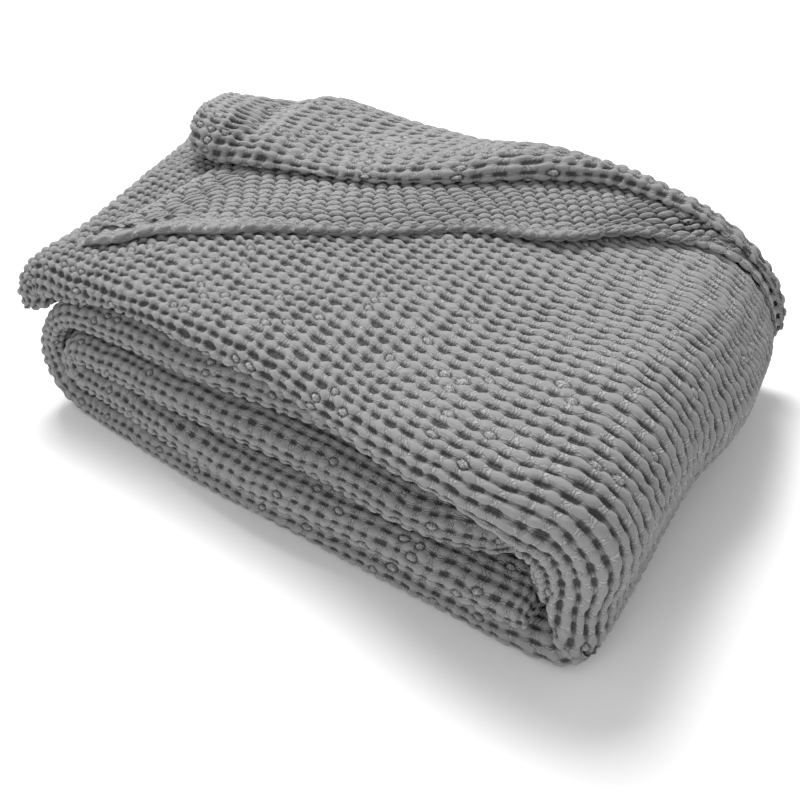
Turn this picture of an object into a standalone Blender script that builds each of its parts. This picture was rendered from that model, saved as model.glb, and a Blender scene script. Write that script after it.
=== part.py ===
"""A waffle weave cotton blanket, folded in four along its length and then folded up into a bundle.

The blanket is one cloth. Folded twice along its length it makes a strip of four plies. The strip
is then folded on itself in five bands. From below: the under band, the two inner bands, the upper
band and the top band, which the right hand wrap joins to the under band. On the top band one edge
of the cloth is turned forward again as a flap with a loose roll behind it.

Metres, Z up, X along the bundle's long front, Y from the front to the back.
"""
import math

import bpy
import numpy as np

CELL = 0.010            # one waffle cell, ridge to ridge
PLY = 0.0036            # thickness of one ply of the waffle cloth
PITCH = 0.006           # one ply to the next in the stack
BAND = 4 * PITCH        # one strip of four plies
STACK = 5 * BAND        # the five bands on each other
PRESSED = 0.75          # a ply is pressed to this share of its thickness in the strip's back fold
WIDTH = 31.0 * CELL     # the folded strip from its front fold to its back edges
MIDDLE = (0.1541, 0.1447, 0.0)              # middle of the footprint, seen from the first corner

OUTER = 1.46 * PITCH    # the outer two plies lie this far from the middle of the strip
INNER = 0.5 * PITCH     # and the inner two this far
BACK_FOLD = WIDTH - INNER - PLY / 2         # where the back fold starts to turn
LIFT = BAND / 2 - OUTER - PLY / 2           # taken off, so that the lowest ply lies on Z = 0

# Ends of the straight runs, in cells along X
LEFT_TURN = 0.0         # inner band to inner band
RIGHT_TURN = 32.0       # inner band to upper band
LEFT_WRAP = 0.0         # upper band round to the under band
RIGHT_WRAP = 34.4       # under band round to the top band
STRIP_START = 34.6      # the end of the blanket that is folded in first
LEFT_NOSE = -2.2        # where the top band starts to turn down
NOSE_BEND = 0.7 * BAND  # the radius of that turn
NOSE_DROP = 82          # and how far it goes, in degrees

# How many steps a turn of the strip takes, by its size
TIGHT_TURN = 5
WIDE_TURN = 8
OUTSIDE_TURN = 9
NOSE_TURN = 4

# Where the bundle leaves the square, in cells
LEFT_LEAN = 4.8         # the left end leans out by this towards the back
LEAN_DEPTH = 24.0       # most of all this far back
LEAN_RETURN = 2.5       # and behind that it comes in again, this many times as fast
FRONT_FADE = 0.45       # the share of the front's waves that is gone at the back
CORNER_PULL = 1.6       # the right back corner is rounded in by this
CORNER_FALL = 2.2       # and lies lower by this
BACK_HUMP = 0.6         # and the back swells up by this to the left of it
FLOOR_PRESS = 0.0004    # what lies this near the floor is pressed flat on it, in metres

# Every ply bends at these places, so that neighbours stay parallel, in cells along X and Y
BEND_X = (5, 11, 17, 23, 29)
BEND_Y = (8.5, 16, 23.5)

# How far each band's front fold stands in front of Y = 0, in cells, at places along X
AT_X = (0, 6, 12, 20, 28, 35, 40)
FRONT = {
    "under": (0.2, -0.6, -1.2, -1.5, -1.9, -2.2, -1.9),
    "inner_low": (0.1, -0.8, -1.6, -2.3, -2.4, -2.7, -2.7),
    "inner_high": (-0.1, -0.4, -0.6, -1.0, -1.6, 0.0, 0.0),
    "upper": (0.4, 0.6, 0.6, 0.7, 1.2, 1.3, 1.3),
    "top": (0.3, 0.6, 0.0, -1.0, -2.5, -3.2, -2.8),
}
# How far the loose front fold of the top band sags inwards, in cells, at the same places, and on
# the right hand wrap, from the under band up
SAG_TOP = (0.0, 0.0, 0.0, 0.3, 1.2, 2.8, 3.2)
SAG_WRAP = 3.4

# The turned flap: its edge, the front of the roll behind it and the roll's radius, in cells
FLAP_X = (-6, 0, 6, 12, 20, 28, 34, 40)
FLAP_EDGE = (3.0, 4.2, 9.4, 13.2, 17.6, 21.6, 24.4, 22.6)
ROLL_FRONT = (15.5, 16.6, 18.2, 20.4, 24.8, 26.2, 26.2, 25.4)
ROLL_RADIUS = (0.80, 0.85, 0.75, 0.70, 0.65, 0.55, 0.4, 0.35)
FLAP_STACK = (OUTER + PITCH, OUTER + 2 * PITCH)     # its two lower layers, from the strip's middle
FLAP_BACK = WIDTH - 0.4 * CELL                      # where it turns over into the strip's outer ply
FLAP_STATIONS = 10                                  # it lies on this many of the last flat stations
ROOT_PLY = (0.7 * PLY, 0.6 * PLY)                   # thinner where it runs into that ply


def smooth(t):
    """An even step from 0 to 1."""
    t = min(max(t, 0.0), 1.0)
    return t * t * (3 - 2 * t)


def table(row, x, places=AT_X):
    """A row of a table, read at X."""
    return float(np.interp(x / CELL, places, row)) * CELL


def run(x0, x1, level, band):
    """Stations along a straight run: x, z, direction of travel, band weights."""
    sign = 1.0 if x1 > x0 else -1.0
    z = (level + 0.5) * BAND
    for x in (x0, *BEND_X[::int(sign)]):
        yield x * CELL, z, (sign, 0.0), {band: 1.0}


def turn(x, level0, level1, side, band0, band1, count):
    """Stations round a half turn between two levels, bulging to side (-1 left, 1 right)."""
    centre = (level0 + level1 + 1) * BAND / 2
    radius = abs(level1 - level0) * BAND / 2
    up = 1.0 if level1 > level0 else -1.0
    for i in range(count):
        a = math.pi * i / count
        along = (side * math.cos(a), up * math.sin(a))
        share = smooth(i / count)
        weights = {band0: 1 - share, band1: share} if band0 != band1 else {band0: 1.0}
        yield (x * CELL + side * radius * math.sin(a), centre - up * radius * math.cos(a),
               along, weights)


def nose(x, level, band, count):
    """Stations of the last bend, where the top band's left end turns down."""
    top = (level + 0.5) * BAND
    for i in range(count + 1):
        a = math.radians(NOSE_DROP) * i / count
        yield (x * CELL - NOSE_BEND * math.sin(a), top - NOSE_BEND * (1 - math.cos(a)),
               (-math.cos(a), -math.sin(a)), {band: 1.0})


def strip_path():
    """The whole way of the folded strip, from its tucked in end to the left end on top."""
    path = []
    path += run(STRIP_START, LEFT_TURN, 1, "inner_low")
    path += turn(LEFT_TURN, 1, 2, -1, "inner_low", "inner_high", TIGHT_TURN)
    path += run(LEFT_TURN, RIGHT_TURN, 2, "inner_high")
    path += turn(RIGHT_TURN, 2, 3, 1, "inner_high", "upper", TIGHT_TURN)
    path += run(RIGHT_TURN, LEFT_WRAP, 3, "upper")
    path += turn(LEFT_WRAP, 3, 0, -1, "upper", "under", WIDE_TURN)
    path += run(LEFT_WRAP, RIGHT_WRAP, 0, "under")
    path += turn(RIGHT_WRAP, 0, 4, 1, "under", "top", OUTSIDE_TURN)
    path += run(RIGHT_WRAP, LEFT_NOSE, 4, "top")
    path += nose(LEFT_NOSE, 4, "top", NOSE_TURN)
    return path


def half_round(y, n, radius, side, up, count):
    """Points of a fold seen on end, from one ply round to the next."""
    points = []
    for i in range(count + 1):
        a = math.pi * i / count
        points.append((y + side * radius * math.sin(a), n - up * radius * math.cos(a)))
    return points


def flat(y0, y1, n):
    """The bends of a flat ply between its two ends."""
    sign = 1 if y1 > y0 else -1
    return [(y * CELL, n) for y in BEND_Y[::sign] if (y * CELL - y0) * sign > CELL
            and (y1 - y * CELL) * sign > CELL]


def straight(y0, y1, n, count):
    """Inner points of a flat ply in even steps, without its two ends."""
    return [(y0 + (y1 - y0) * i / count, n) for i in range(1, count)]


def four_plies(sag):
    """The strip seen on end: y from its front, n outwards from the strip's middle."""
    front = OUTER + PLY / 2
    bulge = front + sag / 2
    back = BACK_FOLD
    section = [(WIDTH, OUTER)]
    section += flat(WIDTH, bulge, OUTER)
    section += half_round(bulge, -sag / 2, OUTER + sag / 2, -1, -1, 6)
    section += [(bulge + 0.4 * sag + 0.3 * CELL, -OUTER - 0.3 * sag)]
    section += [(bulge + 0.8 * sag + 0.6 * CELL, -OUTER)]
    section += flat(bulge + sag, back, -OUTER)
    section += half_round(back, -(OUTER + INNER) / 2, (OUTER - INNER) / 2, 1, 1, 4)
    inner_front = front + 0.6 * sag
    section += flat(back, inner_front, -INNER)
    section += half_round(inner_front, 0, INNER, -1, 1, 4)
    section += flat(inner_front, WIDTH, INNER)
    section += [(WIDTH, INNER)]
    return section


def ply_at(y, n):
    """How thick the strip's ply is at a place of its section."""
    folded = y > BACK_FOLD and -OUTER < n < -INNER
    return PLY * (PRESSED if folded else 1)


def sag_at(station):
    """How far the front fold sags inwards here: only on the right hand wrap and the top band."""
    x, z, along, weights = station
    if "top" not in weights:
        return 0.0
    if weights["top"] == 1.0:
        return table(SAG_TOP, x)
    rise = smooth(weights["top"] * 1.6)
    return (SAG_WRAP + (SAG_TOP[-1] - SAG_WRAP) * weights["top"]) * CELL * rise


def flap_section(x, front):
    """The turned flap seen on end, from its edge back and over into the strip's outer ply."""
    edge = table(FLAP_EDGE, x, FLAP_X) - front
    roll = table(ROLL_FRONT, x, FLAP_X) - front
    radius = table(ROLL_RADIUS, x, FLAP_X)
    low, mid = FLAP_STACK
    high = mid + 2 * radius
    back = FLAP_BACK
    section = [(edge, low)]
    section += straight(edge, back - INNER, low, 4)
    section += half_round(back - INNER, (low + mid) / 2, PITCH / 2, 1, 1, 4)
    section += straight(back - INNER, roll + radius, mid, 3)
    section += half_round(roll + radius, mid + radius, radius, -1, 1, 6)
    fall = low + 2 * PITCH
    steps = straight(roll + radius, back, high, 4)
    section += [(y, n + (fall - n) * smooth((i + 1) / 4)) for i, (y, n) in enumerate(steps)]
    section += half_round(back, (fall + OUTER) / 2, (fall - OUTER) / 2, 1, -1, 7)
    section += [(back - 0.6 * CELL, OUTER), (back - 1.2 * CELL, OUTER)]
    return section


def place(station, y, n):
    """Puts a point of the strip's section at its place in the bundle."""
    x, z, (dx, dz), weights = station
    front = sum(share * table(FRONT[band], x) for band, share in weights.items())
    # outwards is to the right of the way the strip travels
    px, pz = x + n * dz, z - n * dx
    py = y + front * (1 - FRONT_FADE * smooth(y / WIDTH))
    left = 1 - smooth((px / CELL + 4) / 42)
    deep = max(py / CELL / LEAN_DEPTH, 0)
    lean = min(deep, 1) ** 2 - LEAN_RETURN * max(deep - 1, 0) ** 2
    px -= LEFT_LEAN * CELL * lean * left
    corner = smooth((px / CELL - 18) / 26) * smooth((py / CELL - 14) / 18)
    px -= CORNER_PULL * CELL * corner
    hump = smooth((px / CELL - 12) / 14) * smooth((py / CELL - 12) / 14)
    pz += (BACK_HUMP * hump - (CORNER_FALL + BACK_HUMP) * corner) * CELL * pz / STACK
    return np.array((px, py, pz - LIFT))


def uneven(points):
    """Slow swells of the whole stack; none at the floor."""
    x, y, z = (points / CELL).T
    high = np.clip(points[:, 2] / STACK, 0, 1)
    swell = 0.16 * np.sin(0.21 * x + 0.6) * np.sin(0.17 * y + 0.8)
    swell += 0.10 * np.sin(0.43 * x - 0.29 * y + 2.0)
    points[:, 2] += CELL * high * swell
    points[:, 0] += CELL * 0.22 * np.sin(0.19 * y + 0.9 * high + 1.1) * np.minimum(1, 4 * high)
    points[:, 1] += CELL * 0.16 * np.sin(0.33 * x + 2.2 * high) * np.minimum(1, 4 * high)
    return points


def cloth(rows, thickness, name):
    """A closed sheet with its middle surface on a grid of points."""
    grid = np.array(rows)
    along = np.gradient(grid, axis=0)
    across = np.gradient(grid, axis=1)
    normal = np.cross(across, along)
    normal /= np.linalg.norm(normal, axis=2, keepdims=True)
    half = np.asarray(thickness)[None, :, None] / 2
    faces_at = (grid + normal * half, grid - normal * half)
    count_s, count_w = grid.shape[:2]
    points = uneven(np.concatenate([side.reshape(-1, 3) for side in faces_at])) - MIDDLE
    points[:, 2] = np.where(points[:, 2] < FLOOR_PRESS, 0, points[:, 2])

    def at(side, i, j):
        return side * count_s * count_w + i * count_w + j

    faces = []
    for i in range(count_s - 1):
        for j in range(count_w - 1):
            quad = (at(0, i, j), at(0, i, j + 1), at(0, i + 1, j + 1), at(0, i + 1, j))
            faces.append(quad)
            faces.append(tuple(k + count_s * count_w for k in reversed(quad)))
    for i in range(count_s - 1):
        faces.append((at(0, i, 0), at(0, i + 1, 0), at(1, i + 1, 0), at(1, i, 0)))
        last = count_w - 1
        faces.append((at(1, i, last), at(1, i + 1, last), at(0, i + 1, last), at(0, i, last)))
    for j in range(count_w - 1):
        faces.append((at(1, 0, j), at(1, 0, j + 1), at(0, 0, j + 1), at(0, 0, j)))
        last = count_s - 1
        faces.append((at(0, last, j), at(0, last, j + 1), at(1, last, j + 1), at(1, last, j)))
    mesh = bpy.data.meshes.new(name)
    mesh.from_pydata([tuple(p) for p in points], [], faces)
    mesh.validate()
    piece = bpy.data.objects.new(name, mesh)
    bpy.context.scene.collection.objects.link(piece)
    return piece


def clear_scene():
    for thing in list(bpy.data.objects):
        bpy.data.objects.remove(thing)


def cotton():
    material = bpy.data.materials.new("grey waffle cotton")
    material.use_nodes = True
    shader = material.node_tree.nodes["Principled BSDF"]
    shader.inputs["Base Color"].default_value = (0.225, 0.225, 0.225, 1)
    shader.inputs["Roughness"].default_value = 0.92
    shader.inputs["Metallic"].default_value = 0.0
    return material


def build():
    clear_scene()
    path = strip_path()
    strip_rows = []
    for station in path:
        section = four_plies(sag_at(station))
        strip_rows.append([place(station, y, n) for y, n in section])
    blanket = cloth(strip_rows, [ply_at(y, n) for y, n in section], "blanket")

    flap_rows = []
    for station in path[-NOSE_TURN - FLAP_STATIONS:-NOSE_TURN]:
        x = station[0]
        front = table(FRONT["top"], x)
        flap_rows.append([place(station, y, n) for y, n in flap_section(x, front)])
    whole = len(flap_rows[0]) - len(ROOT_PLY)
    flap = cloth(flap_rows, [PLY] * whole + list(ROOT_PLY), "flap")

    blanket.data.materials.append(cotton())
    flap.data.materials.append(blanket.data.materials[0])
    join = blanket.modifiers.new("flap joined on", "BOOLEAN")
    join.operation = "UNION"
    join.object = flap
    flap.hide_render = True
    flap.display_type = "WIRE"


build()
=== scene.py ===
# %% [markdown]
# # A folded waffle blanket
# A waffle weave cotton blanket lies folded into a bundle. The cloth is folded twice along its length
# into a strip of four plies, the strip is folded over and over into five bands, and one edge of the
# cloth is turned forward on top as a flap. This lesson dresses the plain solid of that bundle: it
# lays the cloth over the same folds, weaves the waffle into it as real relief, and lights it softly.
# A cloth simulation could settle such a bundle too, but every fold is known here, so the sheets are
# laid straight onto them.

# %% Load the frame
import math

import bpy
import numpy as np
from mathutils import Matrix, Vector


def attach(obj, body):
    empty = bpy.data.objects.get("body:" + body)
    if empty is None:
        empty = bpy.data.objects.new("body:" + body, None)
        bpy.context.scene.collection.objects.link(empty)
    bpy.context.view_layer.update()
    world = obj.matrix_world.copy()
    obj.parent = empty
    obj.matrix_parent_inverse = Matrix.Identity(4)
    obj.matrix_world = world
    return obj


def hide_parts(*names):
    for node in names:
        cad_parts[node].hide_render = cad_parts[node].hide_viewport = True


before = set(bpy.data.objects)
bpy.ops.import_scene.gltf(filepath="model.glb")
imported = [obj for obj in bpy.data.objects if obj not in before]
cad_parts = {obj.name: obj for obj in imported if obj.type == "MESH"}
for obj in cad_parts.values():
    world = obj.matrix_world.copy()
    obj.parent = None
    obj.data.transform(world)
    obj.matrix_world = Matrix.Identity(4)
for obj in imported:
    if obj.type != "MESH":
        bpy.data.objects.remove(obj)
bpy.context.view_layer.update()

# %% [markdown]
# ## Measures
# A waffle cell is the cloth's own ruler, so sizes are counted in cells of 10 mm, and only the
# finished meshes are in metres. X runs along the front, Y from the front to the back, and Z up.
# The strip's path is that of the solid.

# %% Sizes in cells
CELL = 0.010  # metres in one cell
BAND = 2.4  # height of a band of four plies
STACK = 5 * BAND
WIDTH = 31.0  # of the strip, front to back
SKIN = 1.06  # from the strip's middle to its outside
FLAT_FROM = 3.2  # the plies are flat from here
FLAT_TO = 29.6  # to here
MIDDLE = (15.41, 14.47)  # of the footprint
LIFT = 0.144  # the solid's plies were let down by this
TIGHT = BAND / 2  # radius of a turn between bands that touch
LEFT_WRAP = 1.5 * BAND  # and of the turn from the upper to the under band
RIGHT_WRAP = 2 * BAND  # from there to the top band
NOSE = 0.75 * BAND  # and at the top band's left end
NOSE_TURN = math.radians(92)
STRIP_START = 34.8  # the strip's tucked in end
RIGHT_TURN = 32.0  # the hidden turn's right end
TOP_RIGHT = 34.4  # the right wrap starts and ends here
TOP_LEFT = -2.9  # the top band turns down here

# %% [markdown]
# Three small tools shape everything. `ease` is a soft step, `ramp` is that step between two places,
# and `curve` draws a smooth line through a few values, as a bent batten does.

# %% Soft steps and smooth lines


def ease(t):
    """A soft step from 0 to 1."""
    t = np.clip(t, 0, 1)
    return t * t * (3 - 2 * t)


def ramp(value, start, stop):
    """A soft step from 0 at start to 1 at stop."""
    return ease((value - start) / (stop - start))


def curve(x, at, values):
    """A smooth line through values at the places at, read at x; level beyond the ends."""
    at, values = np.asarray(at, float), np.asarray(values, float)
    slope = np.gradient(values, at)
    x = np.clip(x, at[0], at[-1])
    i = np.clip(np.searchsorted(at, x, side="right") - 1, 0, len(at) - 2)
    h = at[i + 1] - at[i]
    t = (x - at[i]) / h
    rise = values[i] + (values[i + 1] - values[i]) * ease(t)
    return rise + h * t * (1 - t) * (slope[i] * (1 - t) - slope[i + 1] * t)


# %% [markdown]
# ## The way of the strip
# Seen from the front, the strip's middle line runs left and right through the five bands. It is
# made from straight runs and half circles, and kept as close points, so that any place along the
# cloth can be read from it by its distance from the tucked in end. Each point also keeps its
# heading and the share that each band has in it, because the bands stand out unevenly.

# %% The strip's middle line
STEP = 0.05  # from one point of the line to the next
BANDS = ("under", "inner_low", "inner_high", "upper", "top")
lines = {"x": [], "z": [], "heading": [], "share": []}
marks = {}


def lay_run(x0, x1, level, band, heading):
    """Adds a straight run to the line."""
    count = int(abs(x1 - x0) / STEP)
    for i in range(count):
        lines["x"].append(x0 + (x1 - x0) * i / count)
        lines["z"].append((level + 0.5) * BAND)
        lines["heading"].append(heading)
        lines["share"].append([float(b == band) for b in BANDS])


def lay_turn(radius, turn, band0, band1):
    """Adds a bend from where the line stands; turn is its angle."""
    x, z, heading = (lines[k][-1] for k in ("x", "z", "heading"))
    count = int(abs(turn) * radius / STEP)
    stride = abs(turn) * radius / count
    for i in range(1, count + 1):
        middle = heading + turn * (i - 0.5) / count
        x += stride * math.cos(middle)
        z += stride * math.sin(middle)
        share = float(ease(i / count))
        lines["x"].append(x)
        lines["z"].append(z)
        lines["heading"].append(heading + turn * i / count)
        lines["share"].append([(1 - share) * (b == band0) + share * (b == band1) for b in BANDS])


def mark(name):
    """Keeps the place that the line has reached under a name."""
    marks[name] = len(lines["x"]) - 1


lay_run(STRIP_START, 0, 1, "inner_low", math.pi)
lay_turn(TIGHT, -math.pi, "inner_low", "inner_high")
lay_run(0, RIGHT_TURN, 2, "inner_high", 0)
mark("hidden turn")
lay_turn(TIGHT, math.pi, "inner_high", "upper")
lay_run(RIGHT_TURN, 0, 3, "upper", math.pi)
mark("left wrap")
lay_turn(LEFT_WRAP, math.pi, "upper", "under")
mark("under")
lay_run(0, TOP_RIGHT, 0, "under", 2 * math.pi)
mark("right wrap")
lay_turn(RIGHT_WRAP, math.pi, "under", "top")
mark("top")
lay_run(TOP_RIGHT, TOP_LEFT, 4, "top", 3 * math.pi)
mark("nose")
lay_turn(NOSE, NOSE_TURN, "top", "top")
mark("end")
LINE = {k: np.array(v) for k, v in lines.items()}
gaps = np.hypot(np.diff(LINE["x"]), np.diff(LINE["z"]))
LINE["u"] = np.concatenate([[0], np.cumsum(gaps)])
MARK = {k: float(LINE["u"][i]) for k, i in marks.items()}
print("strip length", round(LINE["u"][-1] * CELL, 3), "m; marks", {k: round(v, 1) for k, v in MARK.items()})

# %% [markdown]
# ## The bundle's own shape
# A folded blanket is never square. Each band's front fold stands out by its own amount, the left end
# leans out towards the back, the right back corner is rounded and lies lower, and slow swells run
# through the stack, all as on the solid. Only the right wrap is finer: it bulges at its foot, draws
# in above it, and swells out towards the back. `settle` does this to any point, and `lay` first puts
# a place of the strip on its line.

# %% How the strip settles in the bundle
AT_X = (0, 6, 12, 20, 28, 35, 40)
FRONTS = {  # how far behind Y = 0 each front fold stands at those places
    "under": (0.2, -0.6, -1.2, -1.5, -1.9, -2.2, -1.9),
    "inner_low": (0.1, -0.8, -1.6, -2.3, -2.4, -2.7, -2.7),
    "inner_high": (-0.1, -0.4, -0.6, -1.0, -1.6, 0.0, 0.0),
    "upper": (0.4, 0.6, 0.6, 0.7, 1.2, 1.3, 1.3),
    "top": (0.3, 0.6, 0.0, -1.0, -2.5, -3.2, -2.8),
}
FRONT_FADE = 0.45  # the share of this that is gone at the back
LEFT_LEAN = 4.8  # how far the left end leans out
LEAN_DEPTH = 24.0  # all of it this far back
LEAN_RETURN = 2.5  # behind that it comes in so many times as fast
LEAN_FADE = (-4, 38)  # it dies away along X
CORNER_X, CORNER_Y = (18, 44), (14, 32)  # the right back corner
CORNER_PULL = 1.6  # rounds it
CORNER_FALL = 2.2  # and lowers it
HUMP_AT = (12, 26)  # where the stack swells up
BACK_HUMP = 0.6  # by this
WRAP_X = (33.5, 37)  # the right wrap's own shape sets in here
WRAP_FADE = 0.8  # and this share of it is gone at the back
FOOT_Z = (0, 0.6, 1.5, 3, 4.5, 6, 8, 10, 12)
FOOT_OUT = (1.1, 1.1, 0.5, -0.7, -1.25, -1.1, -0.7, -0.3, 0)
FOOT_FADE = (4, 20)  # this dies away along Y
WRAP_SWELL = 0.8  # the wrap stands out by this
SWELL_FROM, SWELL_TO = (10, 18), (24, 29)  # setting in and dying away along Y
SWELL_UP, SWELL_DOWN = (2, 4.5), (9.5, 6.5)  # and along Z
SWELL = 0.16  # height of the swells
RIPPLE = 0.10  # and of the slanting ones across them
SWAY = (0.22, 0.16)  # how far the plies have slipped along X and Y
LINE["front"] = sum(LINE["share"][:, i] * curve(LINE["x"], AT_X, FRONTS[b]) for i, b in enumerate(BANDS))


def leaning(x, y):
    """How far the left part of the bundle leans out here."""
    deep = np.maximum(y / LEAN_DEPTH, 0)
    lean = np.minimum(deep, 1) ** 2 - LEAN_RETURN * np.maximum(deep - 1, 0) ** 2
    return LEFT_LEAN * lean * (1 - ramp(x, *LEAN_FADE))


def settle(x, y, z):
    """Where a point of the square stack comes to lie in the bundle."""
    x = x - leaning(x, y)
    corner = ramp(x, *CORNER_X) * ramp(y, *CORNER_Y)
    x = x - CORNER_PULL * corner
    x = x + curve(z, FOOT_Z, FOOT_OUT) * ramp(x, *WRAP_X) * (1 - WRAP_FADE * ramp(y, *FOOT_FADE))
    swelling = ramp(y, *SWELL_FROM) * (1 - WRAP_FADE * ramp(y, *SWELL_TO))
    swelling = swelling * ramp(z, *SWELL_UP) * ramp(z, *SWELL_DOWN)
    x = x + WRAP_SWELL * ramp(x, *WRAP_X) * swelling
    hump = ramp(x, *HUMP_AT) * ramp(y, *HUMP_AT)
    z = z + (BACK_HUMP * hump - (CORNER_FALL + BACK_HUMP) * corner) * z / STACK - LIFT
    high = np.clip(z / STACK, 0, 1)
    swell = SWELL * np.sin(0.21 * x + 0.6) * np.sin(0.17 * y + 0.8)
    swell += RIPPLE * np.sin(0.43 * x - 0.29 * y + 2.0)
    loose = np.minimum(1, 4 * high)
    x1 = x + SWAY[0] * np.sin(0.19 * y + 0.9 * high + 1.1) * loose
    y1 = y + SWAY[1] * np.sin(0.33 * x + 2.2 * high) * loose
    return np.stack([x1 - MIDDLE[0], y1 - MIDDLE[1], z + high * swell], axis=-1)


def lay(u, y, n):
    """A point of the strip: u along its middle line, y from its front, n outwards from its middle.
    Past either end the cloth closes round the end, as a fold does."""
    x, z, heading, front = (np.interp(u, LINE["u"], LINE[k]) for k in ("x", "z", "heading", "front"))
    y = y + front * (1 - FRONT_FADE * ease(y / WIDTH))
    past = np.maximum(u - MARK["end"], 0) - np.maximum(-u, 0)
    round_end = np.clip(past / SKIN, -math.pi / 2, math.pi / 2)
    along = np.maximum(np.abs(n), SKIN) * np.sin(round_end)
    n = n * np.cos(round_end)
    x = x + along * np.cos(heading)
    z = z + along * np.sin(heading)
    return settle(x + n * np.sin(heading), y, z - n * np.cos(heading))


print("front left corner of the top band", lay(MARK["top"] + TOP_RIGHT, 1.0, SKIN).round(2))

# %% [markdown]
# ## Waffle weave as real relief
# In waffle weave some threads float over others and draw the cloth together into square cells. High
# smooth pads stand where two ridges cross, lower ridges join them, and between lies a deep pit. In
# a washed blanket some pits have popped up as small domes. A bump in the material would leave the
# outline flat, so the relief is modelled: `waffle` gives the height at any place of the cloth's own
# lattice, where whole numbers are the middles of the pads. A table of chances, drawn once, says how
# washing has pulled the lattice about, how deep each pit is and which ones have popped.

# %% The height of the weave
rng = np.random.default_rng(26)
GRAIN = 96  # cells in the table of chances
CHANCE = rng.random((6, GRAIN, GRAIN))
SMALL_PULL = (0.18, 1.3)  # how far washing pulls, and over how many cells
LARGE_PULL = (0.36, 5.0)
PAD_HALF = 0.29  # half the width of a pad
PAD_FALL = 0.14  # over which it falls away
PAD_CURVE = 1.8  # how round its top is
PAD_POWER = 1.5  # 2 is a round pad, and 1 a diamond
PIT_SHARE = (0.03, 0.12)  # what a pit takes of it, at least and by chance
RIDGE_FALL = 0.15  # a ridge falls into a pit over this
BRIDGE = 0.50  # height of the ridge between two pads
ROPE_LOWER = 0.20  # for the ridges across a rope
ROPE_HIGHER = 0.26  # for those along it
ROPE_LONGER = 0.3  # for its pads
DOME_EDGE = (0.20, 0.32)  # where a popped dome falls away
DOME_GROOVE = (0.28, 0.42)  # and the ridges round it rise
DOME_HEIGHT = (0.62, 0.3)  # at least and by chance
FUZZ = 0.23  # the yarns change over this part of a cell


def wander(i, j, size, layer):
    """A soft uneven value from -1 to 1 that changes over about size cells."""
    a, b = i / size, j / size
    a0, b0 = np.floor(a).astype(int), np.floor(b).astype(int)
    fa, fb = ease(a - a0), ease(b - b0)
    row = CHANCE[layer]

    def at(p, q):
        return row[p % GRAIN, q % GRAIN]

    low = at(a0, b0) * (1 - fa) + at(a0 + 1, b0) * fa
    high = at(a0, b0 + 1) * (1 - fa) + at(a0 + 1, b0 + 1) * fa
    return 2 * (low * (1 - fb) + high * fb) - 1


def pulled(i, j):
    """The lattice as washing has pulled it about."""
    small, over = SMALL_PULL
    large, far = LARGE_PULL
    i1 = i + small * wander(i, j, over, 0) + large * wander(i, j, far, 1)
    j1 = j + small * wander(i, j, over, 2) + large * wander(i, j, far, 3)
    return i1, j1


def waffle(i, j, popped=0.12, rope=0.0, pit=1.0):
    """The weave's height, about 0 in a pit and 1 on a pad, the pulled lattice, and which cells have
    popped. popped is their share, rope joins the pads along i, and pit widens the pits."""
    i1, j1 = pulled(i, j)
    di, dj = np.abs(i1 - np.round(i1)), np.abs(j1 - np.round(j1))
    ci, cj = np.floor(i1).astype(int) % GRAIN, np.floor(j1).astype(int) % GRAIN
    luck, depth = CHANCE[4][ci, cj], CHANCE[5][ci, cj]
    wide = PAD_HALF - (PIT_SHARE[0] + PIT_SHARE[1] * depth) * pit
    across = (1 - ease((di - wide + 0.06) / RIDGE_FALL)) * (BRIDGE - ROPE_LOWER * rope)
    along = (1 - ease((dj - wide - 0.03) / RIDGE_FALL)) * (BRIDGE + ROPE_HIGHER * rope)
    ridges = 1 - (1 - across) * (1 - along)
    reach = ((di * (1 - ROPE_LONGER * rope)) ** PAD_POWER + dj ** PAD_POWER) ** (1 / PAD_POWER)
    pad = (1 - PAD_CURVE * reach ** 2) * (1 - ease((reach - PAD_HALF) / PAD_FALL))
    height = np.maximum(ridges, pad)
    middle = np.hypot(i1 - np.floor(i1) - 0.5, j1 - np.floor(j1) - 0.5)
    dome = (1 - ramp(middle, *DOME_EDGE)) * (DOME_HEIGHT[0] + DOME_HEIGHT[1] * depth)
    ring = height * ramp(middle, *DOME_GROOVE)
    has_popped = luck < popped
    height = np.where(has_popped, np.maximum(ring, dome), height)
    height = height + 0.05 * wander(i, j, FUZZ, 5)
    return height, i1, j1, has_popped


# %% [markdown]
# ## From a flat lattice to folded cloth
# Each piece of the blanket is a grid of points on the weave's lattice. Its rows and columns are
# spaced in cells, and a table of pitches says how wide a cell is at each place, because cloth that
# is pulled in a fold has narrower cells. `Scale` turns cells of the weave into distance and back.

# %% Weave cells and distance
FINE = 8  # points to a weave cell


class Scale:
    """Weave cells counted along a distance, from the pitch at a few places."""

    def __init__(self, start, stop, at, pitch, zero=0.0):
        self.way = np.linspace(start, stop, 2000)
        step = np.diff(self.way)
        rate = 1 / curve((self.way[1:] + self.way[:-1]) / 2, at, pitch)
        self.count = np.concatenate([[0], np.cumsum(step * rate)])
        self.count -= np.interp(zero, self.way, self.count)

    def cells(self, distance):
        return np.interp(distance, self.way, self.count)

    def distance(self, cells):
        return np.interp(cells, self.count, self.way)

    def columns(self, first, last, per_cell):
        """Even steps on the lattice between two distances."""
        return steps(round(self.cells(first)), round(self.cells(last)), per_cell)


def steps(first, last, per_cell):
    """Even steps on the lattice from first to last."""
    return np.linspace(first, last, int(round(abs(last - first) * per_cell)) + 1)


# %% [markdown]
# A fold seen on end is an outline of a few points. `outline` bends a smooth line through them and
# measures off along it, so that the weave keeps its size round the fold.

# %% Outlines of folds


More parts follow.
